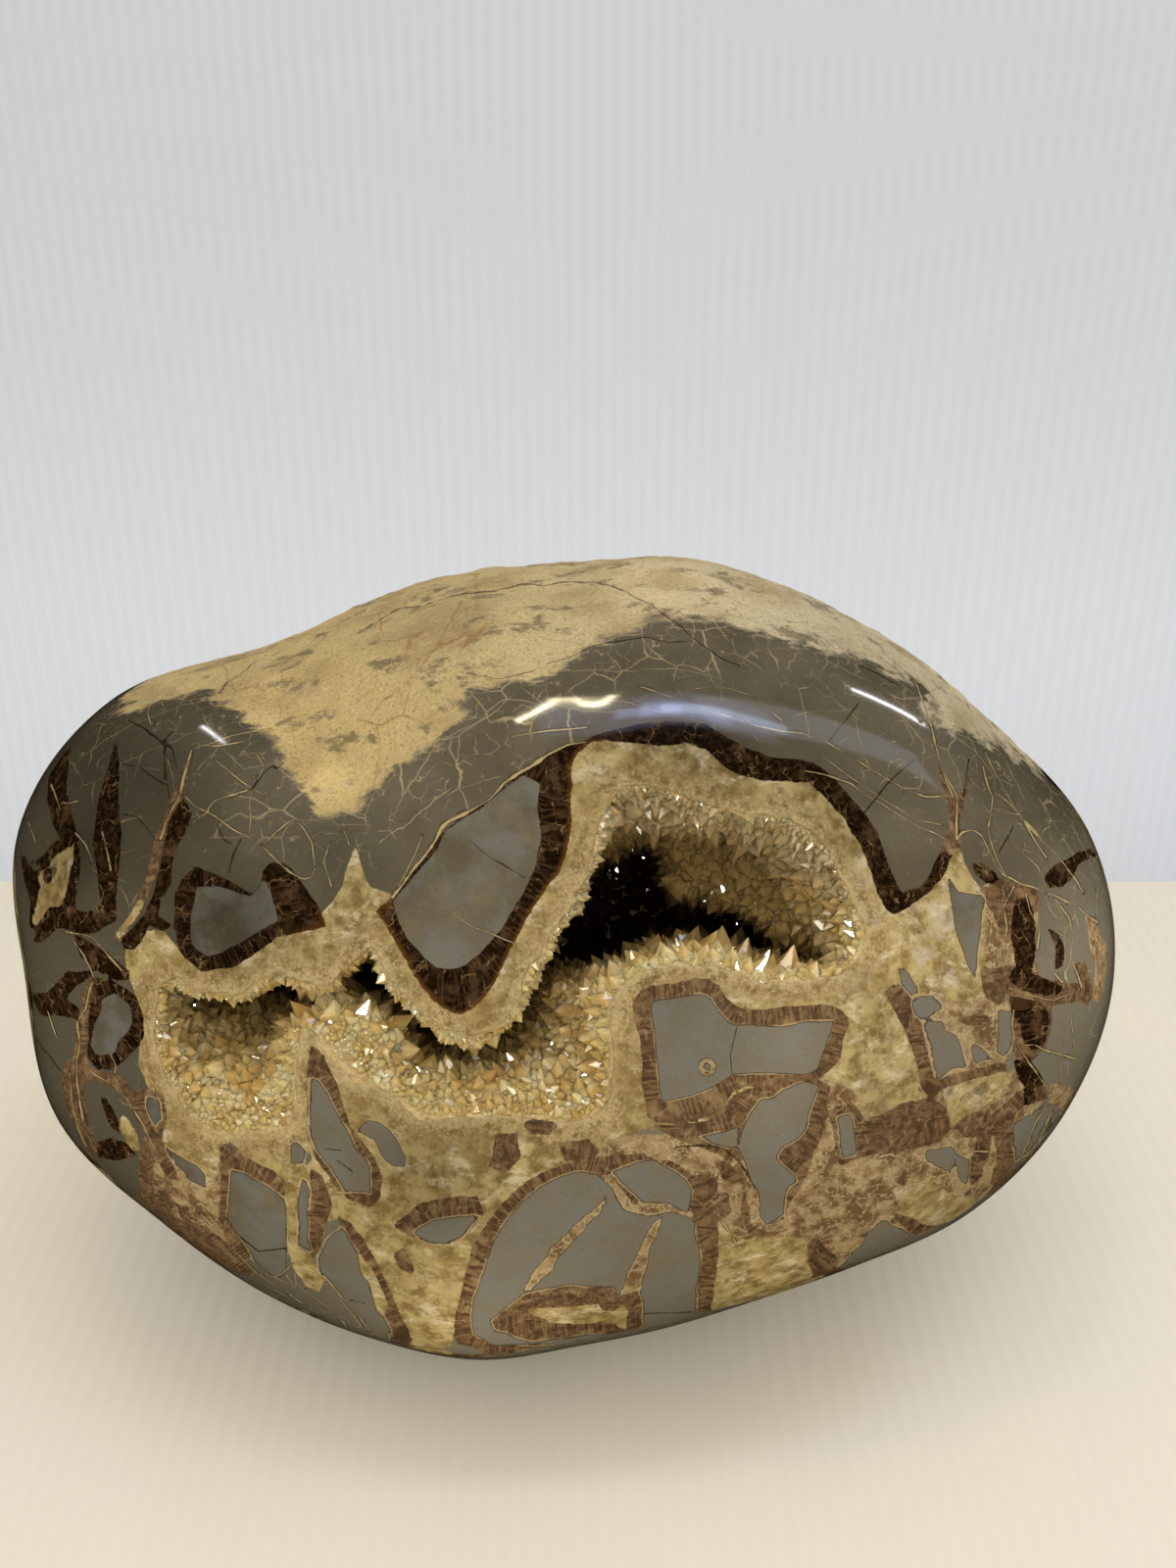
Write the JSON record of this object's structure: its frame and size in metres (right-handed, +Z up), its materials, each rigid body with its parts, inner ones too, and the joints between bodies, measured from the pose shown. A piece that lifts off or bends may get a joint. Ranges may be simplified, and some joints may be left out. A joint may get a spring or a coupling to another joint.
{
  "type": "septarian nodule",
  "caption": "Rounded limestone nodule with one polished face leaning back, cut by calcite veins, and a hollow in it lined with pointed calcite crystals.",
  "frame": {"origin": "middle of the bounding box at the table the stone rests on", "axes": "+X along the stone's length, to the right as the polished face is seen; the polished face looks along -Y and leans back; +Z up"},
  "size_m": [0.2696, 0.1784, 0.1947],
  "materials": {
    "nodule": "polished face, matt tan rind on top and behind",
    "crystal_crust": "translucent honey calcite"
  },
  "bodies": {
    "root": {"nodule": "nodule", "crystal_crust": "crystal_crust"}
  },
  "joints": []
}
